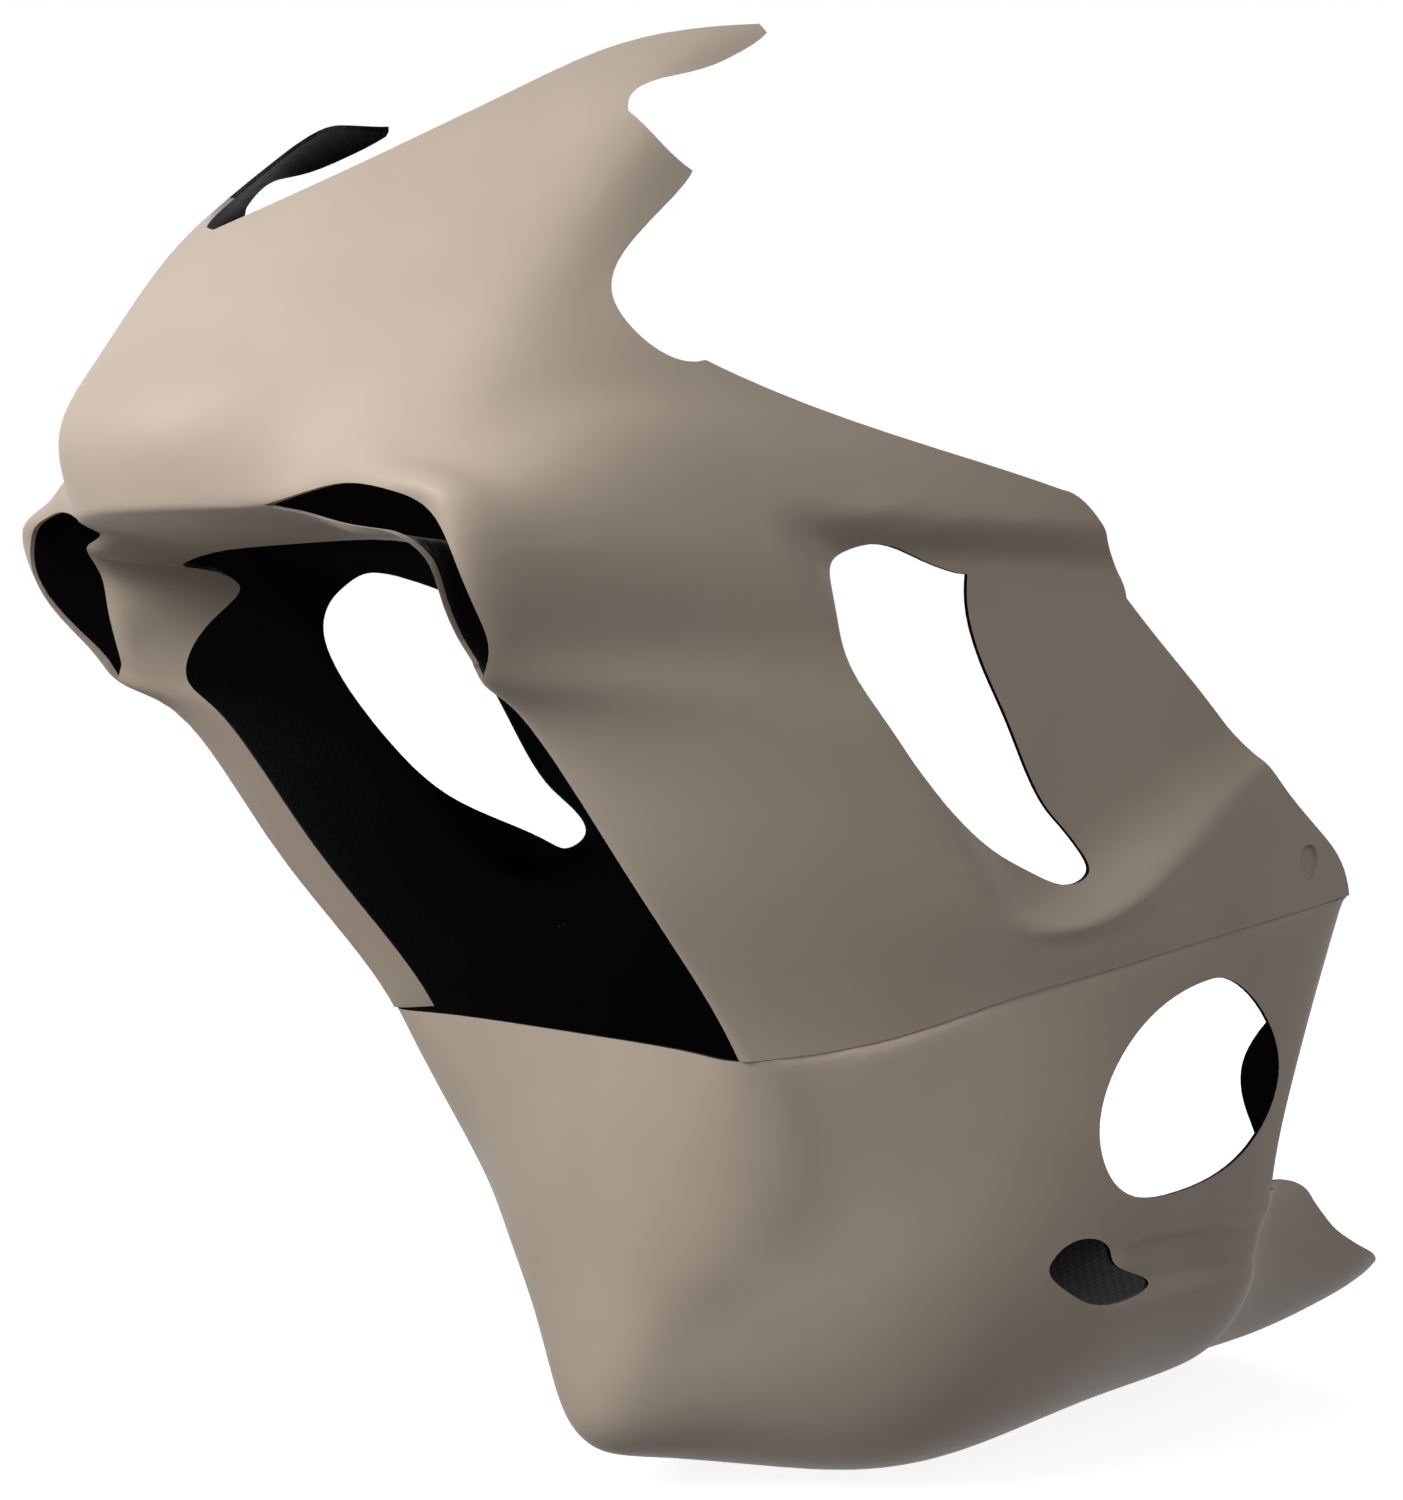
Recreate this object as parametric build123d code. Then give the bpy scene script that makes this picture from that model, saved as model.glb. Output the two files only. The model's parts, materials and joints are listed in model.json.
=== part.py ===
from build123d import *
import os
import numpy as np

# Motorcycle race fairing: an upper moulding and a belly pan, laid up in glass fibre.
# Millimetres. X runs across, +X to the rider's left, Y to the rear and Z up.
# Points are given from the datum, the front corner of the seam on the mid-plane, and the
# finished mouldings are moved so that the origin is under their middle.

# Laminate and the joint between the two mouldings
wall = 2.5              # thickness
seam_gap = 0.3
edge_bend = 9.0         # bend of the nose's lower edge
fold_bend = 13.0        # bend of the panels' front edges
lip_bend = 20.0         # bend of the intake lips
mouth_back = -197.0     # how far back the intake mouths are open
mouth_depth = 100.0     # from there to the front, clear of the lips
screen_foot = 420.0     # height from which the screen opening is open

# Recess behind each side vent, between a level crease and one that climbs to the rear
vent_depth = 22.0
vent_level = 291.0      # height of the level crease
vent_crease = 26.0      # width of the level crease
vent_ramp = 46.0        # width of the slope that climbs out to the lower crease
vent_front = (20.0, 230.0)
vent_lean = 0.85        # how the front end of the recess leans, mm of Y for each mm down
vent_roll = 60.0        # width of the roll at that front end
vent_fade = (290.0, 170.0)  # where the recess runs out to the rear, and over what length
vent_left = 0.45        # share of the depth that is left at the rear edge

# Channel behind each small vent in the belly pan
duct_depth = 12.0
duct_crease = 16.0      # width of the creases along the channel
duct_top = (270.0, -145.0)
duct_bottom = (310.0, -184.0)
duct_fall = 0.04        # fall of both creases for each mm to the rear
duct_front = (262.0, 50.0)  # where the channel starts, and over what length it sinks in
duct_fade = (390.0, 120.0)
duct_left = 0.3

# Clutch opening in the left side of the belly pan
oval_length = 190.0
oval_height = 136.0
oval_center = (320.5, -48.0)

# Fastener pad sunk into each rear corner of the upper moulding
pad_diameter = 24.0
pad_depth = 3.0
pad_center = (437.0, 89.0)

# Flange turned in along the rear edge of each side of the belly pan
flange_width = 40.0
flange_center = -50.0   # height where the flange is widest
flange_half = 76.0      # height over which it runs out

reach = 900.0           # how far the cutting tools go past the mouldings

# Places on each span: from rib to rib away from the nose, along a rib from its free edge,
# and on the belly pan along a frame from the seam down, then from frame to frame
upper_rows = [4, 4, 4, 4, 4, 4, 6, 7, 4, 4, 12, 5, 4]
upper_columns = [8] * 11
belly_columns = [10] * 8
belly_rows = [34, 30]


def curve(points, steps, ends=None):
    """Natural cubic curve through points, as steps places on each span.

    With ends, the places are spread evenly over the stretches that end at those points.
    """
    p = np.asarray(points, float)
    t = np.concatenate([[0], np.cumsum(np.linalg.norm(np.diff(p, axis=0), axis=1) ** 0.6)])
    h = np.diff(t)
    count = len(p)
    system = np.eye(count)
    turn = np.zeros_like(p)
    for i in range(1, count - 1):
        system[i, i - 1:i + 2] = h[i - 1], 2 * (h[i - 1] + h[i]), h[i]
        turn[i] = 6 * ((p[i + 1] - p[i]) / h[i] - (p[i] - p[i - 1]) / h[i - 1])
    m = np.linalg.solve(system, turn)

    def place(at):
        i = np.clip(np.searchsorted(t, at, side="right") - 1, 0, count - 2)
        v = (at - t[i])[:, None]
        length = h[i][:, None]
        u = length - v
        bow = (m[i] * (u**3 - length**2 * u) + m[i + 1] * (v**3 - length**2 * v)) / (6 * length)
        return (p[i] * u + p[i + 1] * v) / length + bow

    stops = []
    start = 0
    for end, number in zip(ends or range(1, count), steps):
        fine = np.linspace(t[start], t[end], 40 * (end - start) + 1)
        way = fine
        if ends:
            run = np.linalg.norm(np.diff(place(fine), axis=0), axis=1)
            way = np.concatenate([[0], np.cumsum(run)])
        stops.append(np.interp(np.linspace(way[0], way[-1], number + 1)[1:], way, fine))
        start = end
    return np.concatenate([p[:1], place(np.concatenate(stops))])


def surface_grid(lines, rows, columns, ends=None):
    """Places on the surface through a set of lines."""
    along = np.array([curve(line, columns) for line in lines])
    return np.stack([curve(along[:, j], rows, ends) for j in range(along.shape[1])], axis=1)


def normals(grid):
    """Unit normals of a grid."""
    n = np.cross(np.gradient(grid, axis=0), np.gradient(grid, axis=1))
    return n / np.linalg.norm(n, axis=2, keepdims=True)


def lofted(grid):
    """One smooth face through the rows of a grid."""
    places = np.linspace(0, 1, grid.shape[1]).tolist()
    sections = [Wire([Edge.make_spline(row.tolist(), parameters=places)]) for row in grid]
    return Shell.make_loft(sections).faces()[0]


def skin(grid):
    """Closed solid of one laminate with its outside on the grid."""
    outer = lofted(grid)
    inner = lofted(grid - wall * normals(grid))
    rims = []
    for edge in outer.edges():
        mate = min(inner.edges(), key=lambda other: (other @ 0.5 - edge @ 0.5).length)
        rims.append(Face.make_surface_from_curves(edge, mate))
    return Solid(Shell([outer, inner, *rims]))


def side_of(grid, y, z):
    """X of the left side of a grid at one place in side view."""
    left = grid[grid[:, :, 0] > 0]
    gap = np.hypot(left[:, 1] - y, left[:, 2] - z)
    near = np.argsort(gap)[:4]
    weight = 1 / (gap[near] + 0.01)
    return float((left[near, 0] * weight).sum() / weight.sum())


def across(*outline):
    """Cutting tool through both sides: an outline in side view, as curves of (Y, Z)."""
    return extrude(Plane.YZ * make_face(list(outline)), reach, both=True)


def both(tool):
    """A tool on the left side, and its mirror image on the right."""
    return [tool, mirror(tool, Plane.YZ)]


def step(value, width):
    """Soft step from 0 to 1 over the width, centred on 0."""
    s = np.clip(value / width + 0.5, 0, 1)
    return s * s * (3 - 2 * s)


def rib(free, inner, corner, bend, *outside):
    """One rib of the upper moulding: free edge, inner and outer front corner, then the outside."""
    way = [np.array(point, float) for point in (free, inner, corner, *outside)]
    line = way[:1]
    front = np.linalg.norm(way[2] - way[1])
    sizes = min(0.3 * front, 0.5 * np.linalg.norm(way[1] - way[0])), min(bend, 0.6 * front)
    for before, at, after, size in zip(way, way[1:3], way[2:], sizes):
        into = at + size * (before - at) / np.linalg.norm(before - at)
        out = at + size * (after - at) / np.linalg.norm(after - at)
        line += [into, (into + 2 * at + out) / 4, out]
    return line + way[3:]


# Ribs of the upper moulding on the left side, from the nose round to the seam
upper_ribs = [
    # Nose: centre line, quarter and corner, from the chin shelf up to the screen
    rib((0, -197, 289), (0, -290, 298), (0, -316, 300), edge_bend,
        (0, -326, 344), (0, -303, 390), (0, -262, 445), (0, -225, 482), (0, -180, 522)),
    rib((55, -195, 289), (56, -277, 298), (56, -302, 300), edge_bend,
        (60, -310, 344), (62, -286, 391), (66, -238, 454), (67, -194, 496), (69, -129, 545)),
    rib((100, -192, 287), (100, -252, 297), (102, -277, 302), edge_bend,
        (108, -273, 345), (116, -248, 397), (125, -191, 469), (123, -120, 540), (117, -50, 590)),
    # Nose side, out to the screen horn and to the point over the hand cut-out
    rib((138, -185, 282), (130, -249, 288), (151, -268, 314), lip_bend,
        (160, -245, 343), (175, -206, 398), (191, -145, 474), (193, -75, 541), (180, 25, 592)),
    rib((148, -170, 281), (146, -243, 286), (170, -266, 315), lip_bend,
        (184, -241, 328), (195, -202, 368), (206, -150, 418), (212, -90, 465), (216, -10, 520)),
    # Valley over the intake, then the shoulder ridge behind it
    rib((154, -150, 279), (155, -237, 284), (190, -265, 312), lip_bend,
        (201, -234, 323), (207, -198, 348), (215, -150, 376), (222, -100, 402), (228, -30, 440)),
    rib((158, -132, 270), (164, -226, 271), (221, -258, 303), lip_bend,
        (229, -222, 307), (234, -170, 330), (239, -90, 346), (244, 0, 356), (250, 110, 372)),
    # Intake cheek, its lower end and the step under it
    rib((161, -150, 250), (168, -217, 250), (219, -243, 262), lip_bend,
        (231, -210, 272), (246, -141, 275), (257, -53, 280), (263, 88, 300), (262, 270, 345)),
    rib((164, -167, 224), (174, -208, 230), (206, -222, 233), lip_bend,
        (212, -184, 228), (230, -107, 228), (251, -18, 230), (265, 128, 247), (262, 330, 287)),
    rib((164, -166, 210), (172, -186, 211), (188, -207, 211), fold_bend,
        (206, -168, 208), (228, -93, 206), (251, 2, 205), (265, 153, 215), (261, 365, 255)),
    rib((158, -151, 194), (164, -160, 195), (178, -177, 196), fold_bend,
        (198, -150, 192), (225, -77, 185), (252, 22, 180), (265, 178, 185), (260, 400, 225)),
    # Side panel along the lower crease of the recess, then the seam and the cut below it
    rib((159, -76, 103), (164, -82, 103), (179, -99, 103), fold_bend,
        (202, -52, 95), (235, 55, 80), (257, 200, 68), (260, 306, 118), (253, 430, 179)),
    rib((152, 10, -2), (158, 3, -2), (173, -14, -2), fold_bend,
        (195, 34, -3), (224, 115, 2), (248, 235, 12), (250, 390, 28), (236, 570, 50)),
    rib((153, 40, -68), (159, 33, -68), (174, 16, -68), fold_bend,
        (193, 68, -68), (221, 145, -65), (243, 255, -58), (243, 405, -45), (228, 590, -25)),
]
flip = np.array([-1, 1, 1])
crease_row = sum(upper_rows[:11])
upper_lines = [[point * flip for point in line] for line in upper_ribs[:0:-1]] + upper_ribs
upper_grid = surface_grid(upper_lines, upper_rows[::-1] + upper_rows, upper_columns)
left = upper_grid[sum(upper_rows):]

# The recess starts with a sharp crease along a rib and ends with a soft one at its level top
climb = np.linalg.norm(left[:crease_row + 1] - left[crease_row], axis=2) / vent_ramp
sink = np.zeros(left.shape[:2])
sink[:crease_row + 1] = 1 - np.clip(1 - climb, 0, 1) ** 2
y, z = left[:, :, 1], left[:, :, 2]
sink *= step(vent_level - z, vent_crease)
sink *= step(y - vent_front[0] - vent_lean * (vent_front[1] - z), vent_roll)
sink *= 1 - (1 - vent_left) * step(y - vent_fade[0], vent_fade[1])
left[:, :, 0] -= vent_depth * sink
upper_grid = np.concatenate([left[:0:-1] * flip, left])
upper = skin(upper_grid)

# Intake mouths between their two lips, from the front
lip = Spline((98, 303), (130, 310), (150, 312), (170, 310), (188, 306), (206, 298), (214, 288),
             (217, 268), (211, 244), (201, 224), (188, 211))
throat = Spline((188, 211), (178, 228), (173, 250), (168, 274), (158, 287), (147, 290), (131, 293), (98, 303))
for mouth in both(Pos(0, mouth_back, 0) * extrude(Plane.XZ * make_face([lip, throat]), mouth_depth)):
    upper -= mouth

# Rear outline of the upper moulding: horn, notch, point, hand cut-out and panel
horn = Spline((1, 577), (-29, 559), (-60, 545), (-101, 526), (-106, 517))
notch = Spline((-106, 517), (-95, 500), (-76, 486))
hand = Spline((-76, 486), (-112, 450), (-133, 412), (-120, 392), (-82, 382))
shoulder = Spline((-82, 382), (-30, 365), (81, 340), (169, 323))
corner = Spline((169, 323), (193, 314), (215, 296), (235, 285), (252, 261))
back = Spline((252, 261), (309, 212), (376, 160), (447, 112), (484, 83), (494, 58))
clear = Polyline((494, 58), (494, -200), (reach, -200), (reach, reach), (1, reach), (1, 577))
upper -= across(horn, notch, hand, shoulder, corner, back, clear)

# Screen opening, from above
screen = Spline((0, -246), (32, -231), (62, -201), (92, -161), (122, -116), (145, -76), (165, -45), (182, 3))
sight = make_face([screen, Polyline((182, 3), (182, reach), (0, reach), (0, -246))])
upper -= both(Pos(0, 0, screen_foot) * extrude(sight, reach))

# Side vents, from their upper rear corner round to it again
vent = Spline((109, 272), (58, 283), (18, 285), (-5, 269), (-8, 247), (27, 190), (96, 129), (177, 93),
              (206, 87), (219, 95), (209, 112), (184, 132), (144, 188), (116, 234), (109, 255), (109, 272))
upper -= across(vent)

# Fastener pads: a round boss behind the wall with a flat-bottomed recess in it
pad_face = side_of(upper_grid, *pad_center) - pad_depth
pad_place = Plane((pad_face, *pad_center), x_dir=(0, 1, 0), z_dir=(1, 0, 0))
boss = extrude(pad_place * Circle(pad_diameter / 2 + wall), -wall)
boss += extrude(pad_place * Circle(pad_diameter / 2 + wall), pad_depth - wall / 2)
upper += both(boss)
upper -= both(extrude(pad_place * Circle(pad_diameter / 2), reach))

# Frames of the belly pan from the mid-plane up to the seam: the first four climb down the
# front shield, the next five run back along the hull, and the rest are the stepped-in tail.
belly_frames = [
    [(0, 4, 24), (38, 3, 24), (78, 1, 24), (128, -6, 25), (172, -30, 28)],
    [(0, 4, -92), (50, 5, -88), (99, 10, -72), (146, 5, -40), (181, -20, 30)],
    [(0, 11, -180), (61, 17, -168), (116, 35, -131), (164, 33, -75), (188, -8, 32)],
    [(0, 17, -266), (62, 36, -217), (125, 53, -150), (171, 55, -92), (194, 8, 34)],
    [(0, 72, -290), (88, 81, -244), (164, 95, -168), (195, 92, -95), (205, 30, 37)],
    [(0, 170, -310), (128, 168, -280), (206, 168, -178), (230, 170, -95), (230, 115, 44)],
    [(0, 275, -314), (143, 270, -279), (222, 265, -184), (244, 260, -95), (254, 235, 58)],
    [(0, 380, -306), (140, 375, -273), (218, 362, -188), (240, 355, -95), (255, 370, 74)],
    [(0, 462, -298), (138, 455, -269), (211, 434, -190), (233, 432, -95), (243, 500, 92)],
    [(0, 478, -296), (128, 471, -269), (197, 450, -188), (219, 448, -95), (232, 522, 94)],
    [(0, 560, -290), (120, 560, -269), (174, 556, -195), (188, 552, -125), (202, 575, 60)],
    [(0, 640, -276), (112, 640, -263), (160, 640, -222), (174, 640, -165), (184, 650, 0)],
    [(0, 700, -264), (106, 700, -251), (152, 700, -212), (168, 700, -155), (178, 700, 0)],
]
hull_end = 8
belly_lines = [[np.array(point, float) * flip for point in frame[:0:-1]]
               + [np.array(point, float) for point in frame] for frame in belly_frames]
belly_grid = surface_grid(belly_lines, belly_rows, belly_columns,
                          (hull_end, len(belly_frames) - 1))

# Channel behind each small vent
x, y, z = belly_grid[:, :, 0], belly_grid[:, :, 1], belly_grid[:, :, 2]
sink = step(duct_top[1] - duct_fall * (y - duct_top[0]) - z, duct_crease)
sink *= step(z - duct_bottom[1] + duct_fall * (y - duct_bottom[0]), duct_crease)
sink *= step(y - duct_front[0], duct_front[1])
sink *= 1 - (1 - duct_left) * step(y - duct_fade[0], duct_fade[1])
belly_grid[:, :, 0] -= np.sign(x) * duct_depth * sink
belly = skin(belly_grid)

# Rear outline of the belly pan: side, then the tail's top edge and its end
side_edge = Spline((495, 67), (466, 4), (442, -46), (426, -90), (422, -131))
tail_edge = Spline((422, -131), (446, -132), (519, -147), (569, -179), (618, -206), (654, -221), (666, -228))
behind = Polyline((666, -228), (666, -400), (reach, -400), (reach, 200), (495, 200), (495, 67))
belly -= across(side_edge, tail_edge, behind)

# Clutch opening, as shares of its half length and half height, and small vents
oval = [(0.1, 1), (0.72, 0.63), (0.99, -0.09), (0.7, -0.69), (-0.08, -1), (-0.8, -0.78), (-0.98, -0.3), (-0.62, 0.66)]
oval_line = Spline(*[(oval_center[0] + oval_length / 2 * u, oval_center[1] + oval_height / 2 * v) for u, v in oval],
                   periodic=True)
belly -= extrude(Plane.YZ * make_face(oval_line), reach)
duct = Spline((203, -146), (212, -137), (241, -138), (266, -157), (315, -180), (288, -185), (248, -181), (216, -165),
              periodic=True)
belly -= across(duct)

# Flanges along the rear edges of the sides
flange_lines = []
for share in np.linspace(-1, 1, 7):
    height = flange_center + flange_half * share
    spot = min((side_edge @ k for k in np.linspace(0, 1, 200)), key=lambda p: abs(p.Y - height))
    outside = side_of(belly_grid, spot.X - wall, height) - wall / 2
    turn_in = 2 * wall + (flange_width - 2 * wall) * np.cos(share * np.pi / 2) ** 2
    flange_lines.append([(outside, spot.X - 1, height), (outside - turn_in / 2, spot.X - 1, height),
                         (outside - turn_in, spot.X - 1, height)])
flange = skin(surface_grid(flange_lines, [4] * 6, [4, 4]))
belly += both(flange)


# Seam between the two mouldings
seam_line = [(-60, -9), (20, -7), (86, 3), (146, 19), (221, 32), (315, 45), (429, 57), (540, 69)]


def seam_half(offset, end):
    """Everything on one side of the seam, from an offset to it up or down to an end."""
    line = Spline(*[(y, z + offset) for y, z in seam_line])
    first, last = line @ 0, line @ 1
    return across(line, Polyline((last.X, last.Y), (last.X, end), (first.X, end), (first.X, first.Y)))


upper -= seam_half(seam_gap / 2, -reach)
belly -= seam_half(-seam_gap / 2, reach)

whole = (upper + belly).bounding_box()
place = Pos(0, -whole.center().Y, -whole.min.Z)

os.makedirs("parts", exist_ok=True)
export_step(place * upper, "parts/upper_fairing.step")
export_step(place * belly, "parts/belly_pan.step")
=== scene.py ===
import json
import math

import bpy
import numpy as np
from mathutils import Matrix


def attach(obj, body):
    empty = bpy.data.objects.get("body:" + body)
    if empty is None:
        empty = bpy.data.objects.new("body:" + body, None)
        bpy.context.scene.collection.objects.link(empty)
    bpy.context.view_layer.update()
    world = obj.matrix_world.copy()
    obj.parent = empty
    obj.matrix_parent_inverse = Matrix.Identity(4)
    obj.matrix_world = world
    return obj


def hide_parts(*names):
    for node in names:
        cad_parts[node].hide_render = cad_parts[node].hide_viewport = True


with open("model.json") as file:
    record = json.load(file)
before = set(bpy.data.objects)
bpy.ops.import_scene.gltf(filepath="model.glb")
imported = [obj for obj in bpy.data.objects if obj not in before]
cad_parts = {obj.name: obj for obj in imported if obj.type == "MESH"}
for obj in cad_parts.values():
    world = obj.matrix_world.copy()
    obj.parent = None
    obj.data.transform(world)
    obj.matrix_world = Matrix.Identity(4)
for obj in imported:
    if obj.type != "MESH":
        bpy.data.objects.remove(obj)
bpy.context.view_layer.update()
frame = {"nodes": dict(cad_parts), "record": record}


# Upper moulding: nose, intake scoops, side panels and screen horns in one laminate of glass
# fibre, laid up in a split mould. Its outside is gelcoat rubbed down for paint, its inside the
# bare cloth side in black resin, and its edges are trimmed by hand.
def linear(code):
    """Linear colour of an sRGB hex value."""
    channels = [int(code[i:i + 2], 16) / 255 for i in (1, 3, 5)]
    return [c / 12.92 if c <= 0.04045 else ((c + 0.055) / 1.055) ** 2.4 for c in channels] + [1]


def add_node(owner, kind, links=(), **settings):
    """One shader node: settings by property or socket name, links as (socket, from socket)."""
    node = owner.node_tree.nodes.new(kind)
    for key, value in settings.items():
        if hasattr(node, key):
            setattr(node, key, value)
    for key, value in settings.items():
        if not hasattr(node, key):
            node.inputs[key.replace("_", " ")].default_value = value
    for socket, source in links:
        owner.node_tree.links.new(source, node.inputs[socket])
    return node


def new_material(name):
    """An empty material, with its output node."""
    material = bpy.data.materials.new(name)
    material.use_nodes = True
    material.node_tree.nodes.clear()
    return material, material.node_tree.nodes.new("ShaderNodeOutputMaterial")


def satin_gelcoat():
    """Pigmented polyester gelcoat, rubbed down for paint: a soft even sheen over a warm grey,
    with faint clouds of thinner and thicker pigment and the fine ripple of the rubbing."""
    pale, deep = "#C0B1A1", "#BAAB9B"
    cloud = 0.11                    # metres across a cloud
    ripple, depth = 0.004, 0.0006   # the real marks are finer, drawn as coarse as shows
    smooth, rough = 0.42, 0.54      # roughness of the crowns and the hollows of the ripple
    material, output = new_material("satin_gelcoat")
    place = add_node(material, "ShaderNodeTexCoord").outputs["Object"]
    clouds = add_node(material, "ShaderNodeTexNoise", [("Vector", place)], Scale=1 / cloud, Detail=2.0)
    colour = add_node(material, "ShaderNodeValToRGB", [("Fac", clouds.outputs["Fac"])])
    for stop, spot, code in zip(colour.color_ramp.elements, (0.35, 0.65), (deep, pale)):
        stop.position = spot
        stop.color = linear(code)
    marks = add_node(material, "ShaderNodeTexNoise", [("Vector", place)], Scale=1 / ripple, Detail=3.0)
    sheen = add_node(material, "ShaderNodeMapRange", [("Value", marks.outputs["Fac"])],
                     To_Min=smooth, To_Max=rough)
    relief = add_node(material, "ShaderNodeBump", [("Height", marks.outputs["Fac"])],
                      Strength=0.04, Distance=depth)
    shader = add_node(material, "ShaderNodeBsdfPrincipled", [
        ("Base Color", colour.outputs["Color"]), ("Roughness", sheen.outputs["Result"]),
        ("Normal", relief.outputs["Normal"])], IOR=1.5, Specular_IOR_Level=0.2)
    material.node_tree.links.new(shader.outputs[0], output.inputs[0])
    return material


def black_laminate():
    """Woven glass roving wetted out with black resin: nearly black, with a dull shine on the
    crowns of the strands."""
    strand, depth = 0.005, 0.0006   # width and height of a strand
    period = 2 * math.pi / 20       # a wave texture's own period at a scale of 1
    material, output = new_material("black_laminate")
    place = add_node(material, "ShaderNodeUVMap", uv_map="weave").outputs["UV"]
    warp, weft = (add_node(material, "ShaderNodeTexWave", [("Vector", place)], bands_direction=way,
                           Scale=period / strand) for way in "XY")
    over = add_node(material, "ShaderNodeTexChecker", [("Vector", place)], Scale=1 / strand)
    cloth = add_node(material, "ShaderNodeMix", [
        ("Factor", over.outputs["Fac"]), ("A", warp.outputs["Fac"]), ("B", weft.outputs["Fac"])])
    relief = add_node(material, "ShaderNodeBump", [("Height", cloth.outputs["Result"])],
                      Strength=0.25, Distance=depth)
    shader = add_node(material, "ShaderNodeBsdfPrincipled", [("Normal", relief.outputs["Normal"])],
                      Base_Color=linear("#0B0A0A"), Roughness=0.55, Specular_IOR_Level=0.012)
    material.node_tree.links.new(shader.outputs[0], output.inputs[0])
    return material


gelcoat = satin_gelcoat()
laminate = black_laminate()
outside, inside = 0, 1      # material slots of a moulding


def centres(mesh):
    """Middle of each polygon of a mesh."""
    flat = np.empty(len(mesh.polygons) * 3)
    mesh.polygons.foreach_get("center", flat)
    return flat.reshape(-1, 3)


def islands(mesh):
    """Number of the CAD face that each polygon of a mesh lies on, the largest face first."""
    group = np.arange(len(mesh.vertices))
    ends = np.empty(len(mesh.edges) * 2, int)
    mesh.edges.foreach_get("vertices", ends)
    a, b = ends[::2], ends[1::2]
    while True:
        low = np.minimum(group[a], group[b])
        before = group.copy()
        np.minimum.at(group, a, low)
        np.minimum.at(group, b, low)
        group = group[group]
        if (group == before).all():
            break
    first = np.array([p.vertices[0] for p in mesh.polygons])
    area = np.array([p.area for p in mesh.polygons])
    names, face = np.unique(group[first], return_inverse=True)
    total = np.bincount(face, area)
    rank = np.empty(len(names), int)
    rank[np.argsort(-total)] = np.arange(len(names))
    return rank[face]


def moulding(node, name):
    """A merged copy of a moulding's solid: gelcoat on its outer face, bare laminate inside and on
    the trimmed edges. The fastener pads are pressed into the outer face and keep its gelcoat, and
    so do the lips of the scoops, which are rounded and filled by hand."""
    pad_reach = 0.0125          # radius and depth round a pad's middle
    backs = -0.5                # facets that turn further away from a pad's axis are the inner face
    lips_end = -0.36            # the scoops' lips lie forward of this
    weld = 1e-6
    fold = math.radians(38)     # sharper folds than this stay sharp
    mesh = frame["nodes"][node].data.copy()
    piece = bpy.data.objects.new(name, mesh)
    bpy.context.scene.collection.objects.link(piece)
    mesh.materials.clear()
    mesh.materials.append(gelcoat)
    mesh.materials.append(laminate)
    face = islands(mesh)
    middle = centres(mesh)
    normal = np.array([p.normal for p in mesh.polygons])
    finish = np.where(face == 0, outside, inside)
    finish[(face > 1) & (middle[:, 1] < lips_end)] = outside
    for mount in frame["record"]["mounts"]:
        axis = np.array(mount["axis"], float)
        away = middle - np.array(mount["pos_m"])
        beside = np.linalg.norm(away - np.outer(away @ axis, axis), axis=1)
        near = (beside < pad_reach) & (np.abs(away @ axis) < pad_reach)
        finish[near & (normal @ axis > backs)] = outside
    mesh.polygons.foreach_set("material_index", finish.astype(np.int32))
    bpy.ops.object.select_all(action="DESELECT")
    bpy.context.view_layer.objects.active = piece
    piece.select_set(True)
    bpy.ops.mesh.customdata_custom_splitnormals_clear()
    bpy.ops.object.mode_set(mode="EDIT")
    bpy.ops.mesh.select_all(action="SELECT")
    bpy.ops.mesh.remove_doubles(threshold=weld)
    bpy.ops.uv.cube_project(cube_size=1)
    bpy.ops.object.mode_set(mode="OBJECT")
    mesh.uv_layers.active.name = "weave"
    bpy.ops.object.shade_smooth_by_angle(angle=fold)
    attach(piece, "root")
    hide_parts(node)
    return piece


upper = moulding("upper_fairing", "upper_moulding")

# Belly pan: front shield, hull and tail in one laminate of the same make, butted against the
# upper moulding along the seam. Its edge there rolls in to meet the upper's wall, so that the
# seam shows as a fine dark line, with a lit edge below it at the front.
belly = moulding("belly_pan", "belly_moulding")
rows = (0.0016, 0.003, 0.005, 0.008, 0.012)     # depths of the rolled edge's rows below the seam
spans = 10              # straight cuts along each row
tuck = 0.0014           # how far the edge rolls in behind the upper's face
seal = 0.00028          # rise of its inner edge, which shuts out light
seam_low, seam_high = 0.3, 0.385
seam_front, fold_end = -0.165, -0.15        # the roll starts here, and the front's folded edge ends
hull_half, hull_reach = 0.12, 0.15          # the hull's sides lie out here, and are cut this far down
facing = 0.6                                # least slope of a facet on a moulding's edge
nearby, slack = 0.015, 0.005                # a point of the edge is this close to the highest one nearby


def seam_edge(piece, way):
    """Points of a moulding's outer face on facets that face up or down near the seam, front to rear."""
    facets = piece.data.polygons
    skin = {i for facet in facets if facet.material_index == outside for i in facet.vertices}
    found = set()
    for facet in facets:
        beside_seam = facet.center.x > hull_half and seam_low < facet.center.z < seam_high
        if beside_seam and facet.normal.z * way > facing:
            found.update(skin.intersection(facet.vertices))
    return np.array(sorted((piece.data.vertices[i].co for i in found), key=lambda corner: corner.y))


edge = seam_edge(belly, 1)
edge = edge[[point[2] > edge[np.abs(edge[:, 1] - point[1]) < nearby, 2].max() - slack for point in edge]]


def below_seam(points):
    """How far points of the hull lie below the seam."""
    return np.interp(points[:, 1], edge[:, 1], edge[:, 2]) - points[:, 2]


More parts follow.
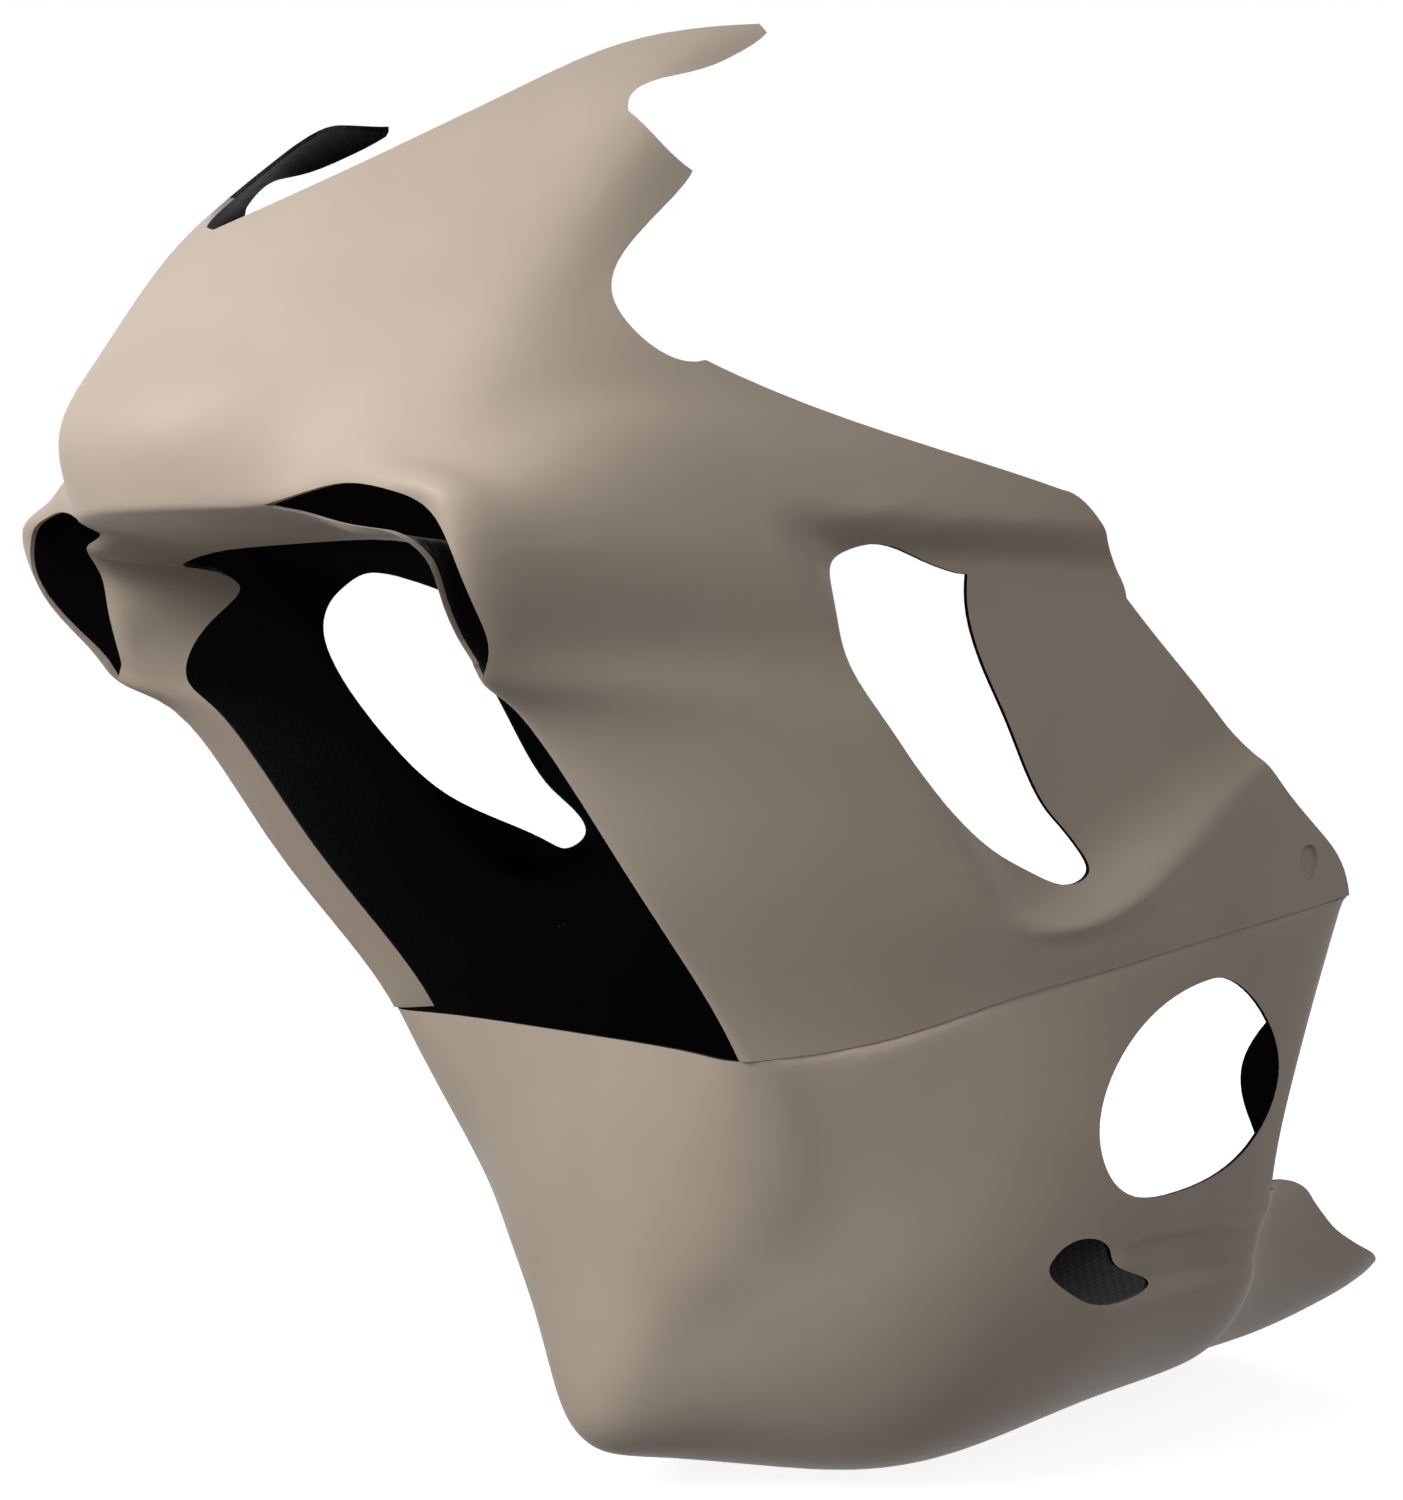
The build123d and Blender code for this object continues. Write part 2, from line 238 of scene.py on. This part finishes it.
wall = seam_edge(upper, -1)
wall = wall[(np.abs(below_seam(wall)) < rows[1]) & (wall[:, 1] > fold_end)]
rim = edge[edge[:, 1] > fold_end]
proud = np.interp(wall[:, 1], rim[:, 1], rim[:, 0]) - wall[:, 0]

mesh = belly.data
bpy.ops.object.mode_set(mode="EDIT")
bpy.ops.mesh.select_mode(type="FACE")
bpy.ops.object.mode_set(mode="OBJECT")
stations = np.linspace(edge[0, 1], edge[-1, 1], spans + 1)
heights = np.interp(stations, edge[:, 1], edge[:, 2])
for row in rows:
    for start, end, low, high in zip(stations, stations[1:], heights, heights[1:]):
        middle = centres(mesh)
        mesh.polygons.foreach_set("select", (middle[:, 1] >= start) & (middle[:, 1] < end)
                                  & (below_seam(middle) < hull_reach) & (np.abs(middle[:, 0]) > hull_half))
        bpy.ops.object.mode_set(mode="EDIT")
        bpy.ops.mesh.bisect(plane_co=(0, start, low - row), plane_no=(0, low - high, end - start))
        bpy.ops.object.mode_set(mode="OBJECT")
spots = np.array([v.co for v in mesh.vertices])
drop = below_seam(spots)
side = (np.abs(spots[:, 0]) > hull_half) & (spots[:, 1] > seam_front)
outer = np.zeros(len(mesh.vertices), bool)
for polygon in mesh.polygons:
    if polygon.material_index == outside:
        outer[list(polygon.vertices)] = True
turn = np.clip(1 - drop / rows[-1], 0, 1)
inward = (np.interp(spots[:, 1], wall[:, 1], proud) + tuck * outer) * (1 - np.sqrt(1 - turn ** 2))
spots[:, 0] -= np.sign(spots[:, 0]) * inward * side * np.clip((spots[:, 1] - seam_front) / rows[-1], 0, 1)
spots[side & ~outer & (drop < rows[0]), 2] += seal
mesh.vertices.foreach_set("co", spots.ravel())
mesh.update()


# Studio floor: a sheet of white paper under the part, which takes its shadow. It is toned down
# near the part, where its own light adds to the lamps', and throws little light back up.
def shown_white(owner, plain, white):
    """A shader that the camera, shine and glass see as white, and all other light as plain."""
    ray = add_node(owner, "ShaderNodeLightPath")
    seen = ray.outputs["Is Camera Ray"]
    for kind in ("Is Glossy Ray", "Is Transmission Ray"):
        both = add_node(owner, "ShaderNodeMath", [(0, seen), (1, ray.outputs[kind])], operation="MAXIMUM")
        seen = both.outputs[0]
    return add_node(owner, "ShaderNodeMixShader", [(0, seen), (1, plain.outputs[0]), (2, white.outputs[0])])


floor_width = 60
toned, clear = 0.6, 2.0         # radii where the tone starts to fade and is gone
bpy.ops.object.select_all(action="DESELECT")
bpy.ops.mesh.primitive_plane_add(size=floor_width)
floor = bpy.context.object
floor.name = "floor"
sheet, output = new_material("white_paper")
place = add_node(sheet, "ShaderNodeTexCoord").outputs["Object"]
far = add_node(sheet, "ShaderNodeVectorMath", [(0, place)], operation="LENGTH")
tone = add_node(sheet, "ShaderNodeMapRange", [("Value", far.outputs["Value"])],
                From_Min=toned, From_Max=clear, To_Min=0.88, To_Max=1.0)
paper = add_node(sheet, "ShaderNodeBsdfDiffuse", Color=linear("#C0C0C0"))
matt = add_node(sheet, "ShaderNodeBsdfDiffuse", Color=linear("#505050"))
glow = add_node(sheet, "ShaderNodeEmission", [("Strength", tone.outputs["Result"])])
lit = add_node(sheet, "ShaderNodeAddShader", [(0, paper.outputs[0]), (1, glow.outputs[0])])
sheet.node_tree.links.new(shown_white(sheet, matt, lit).outputs[0], output.inputs[0])
floor.data.materials.append(sheet)


# Studio light: a soft lamp in front of the nose and above it, a weak one on the rider's left, one
# behind for the other sides, and a dim room.
def soft_lamp(name, size, watts, place, tilt, turn):
    """A square lamp: its size and place in metres, its tilt and turn in degrees."""
    lamp = bpy.data.lights.new(name, "AREA")
    lamp.shape = "SQUARE"
    lamp.size = size
    lamp.energy = watts
    holder = bpy.data.objects.new(name, lamp)
    bpy.context.scene.collection.objects.link(holder)
    holder.location = place
    holder.rotation_euler = (math.radians(tilt), 0, math.radians(turn))


soft_lamp("softbox", size=0.8, watts=30, place=(0.2, -2.0, 1.3), tilt=67, turn=6)
soft_lamp("side_fill", size=1.5, watts=7.5, place=(1.8, -1.2, 0.9), tilt=79, turn=55)
soft_lamp("rear_fill", size=1.2, watts=20, place=(-1.5, 2.1, 1.5), tilt=66, turn=215)
world = bpy.data.worlds.new("studio")
bpy.context.scene.world = world
world.use_nodes = True
world.node_tree.nodes.clear()
output = world.node_tree.nodes.new("ShaderNodeOutputWorld")
room, backdrop = (add_node(world, "ShaderNodeBackground", Color=linear("#FFFFFF"), Strength=level)
                  for level in (0.2, 1.0))
world.node_tree.links.new(shown_white(world, room, backdrop).outputs[0], output.inputs[0])

# Camera: in front on the rider's left, a little above the middle, with a short telephoto lens.
camera = bpy.data.objects.new("camera", bpy.data.cameras.new("camera"))
bpy.context.scene.collection.objects.link(camera)
camera.data.sensor_fit = "VERTICAL"
camera.data.sensor_height = 36
camera.data.lens = 62.4
camera.data.clip_end = 100
camera.location = (1.2653, -1.18656, 0.52394)
camera.rotation_euler = (math.radians(90 - 1.48), math.radians(0.12), math.radians(48.09))
bpy.context.scene.camera = camera
bpy.context.scene.view_settings.view_transform = "Standard"

bpy.context.view_layer.update()
